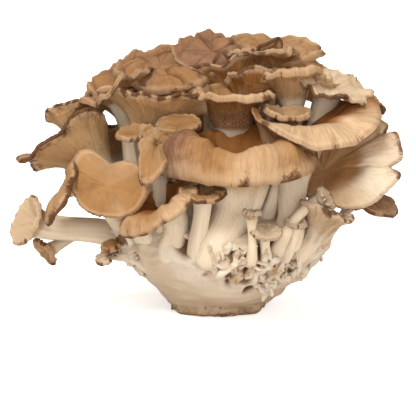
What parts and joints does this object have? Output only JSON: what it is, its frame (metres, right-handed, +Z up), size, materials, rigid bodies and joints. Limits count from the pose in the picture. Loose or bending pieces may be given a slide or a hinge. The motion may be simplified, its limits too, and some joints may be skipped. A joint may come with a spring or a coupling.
{
  "type": "oyster mushroom cluster",
  "caption": "Cluster of oyster mushrooms: overlapping fan and funnel caps with gilled undersides, on pale stems that grow from one solid base with a flat cut foot",
  "frame": {"origin": "centre of the flat cut foot that the cluster stands on", "axes": "+Z up out of the foot, -Y the cluster's front, +X to the right as seen from the front"},
  "size_m": [0.1783, 0.1456, 0.1254],
  "materials": {
    "base_flesh": "matt off-white flesh",
    "cap_flesh": "matt tan skin over cream flesh"
  },
  "bodies": {
    "root": {"base_block": "base_flesh", "slim_stem": "cap_flesh", "pale_knob": "cap_flesh", "short_stem": "cap_flesh", "slanted_stem": "cap_flesh", "low_fan": "cap_flesh", "front_funnel": "cap_flesh", "right_band": "cap_flesh", "right_fold": "cap_flesh", "right_tail": "cap_flesh", "front_left_curl": "cap_flesh", "little_front_fan": "cap_flesh", "left_heart": "cap_flesh", "left_edge": "cap_flesh", "left_low_trumpet": "cap_flesh", "left_tip": "cap_flesh", "left_wing": "cap_flesh", "left_far_fan": "cap_flesh", "left_lobe": "cap_flesh", "small_tan": "cap_flesh", "small_button": "cap_flesh", "shoulder_fan": "cap_flesh", "centre_left_cup": "cap_flesh", "small_shelf": "cap_flesh", "centre_cup": "cap_flesh", "right_cup": "cap_flesh", "under_cup": "cap_flesh", "top_left_curl": "cap_flesh", "top_left_cap": "cap_flesh", "top_ridge_cap": "cap_flesh", "top_wrinkled_cap": "cap_flesh", "top_right_cap": "cap_flesh", "top_tier_cap": "cap_flesh", "right_top_cap": "cap_flesh", "right_torn_cap": "cap_flesh", "right_under_cap": "cap_flesh", "right_small_cap": "cap_flesh", "left_shred_upper": "cap_flesh", "left_shred_lower": "cap_flesh", "back_left_trumpet": "cap_flesh", "back_funnel": "cap_flesh", "back_right_funnel": "cap_flesh", "right_back_fan": "cap_flesh", "back_left_shelf": "cap_flesh", "back_right_shelf": "cap_flesh", "back_low_cap": "cap_flesh", "back_low_left_cap": "cap_flesh"}
  },
  "joints": []
}
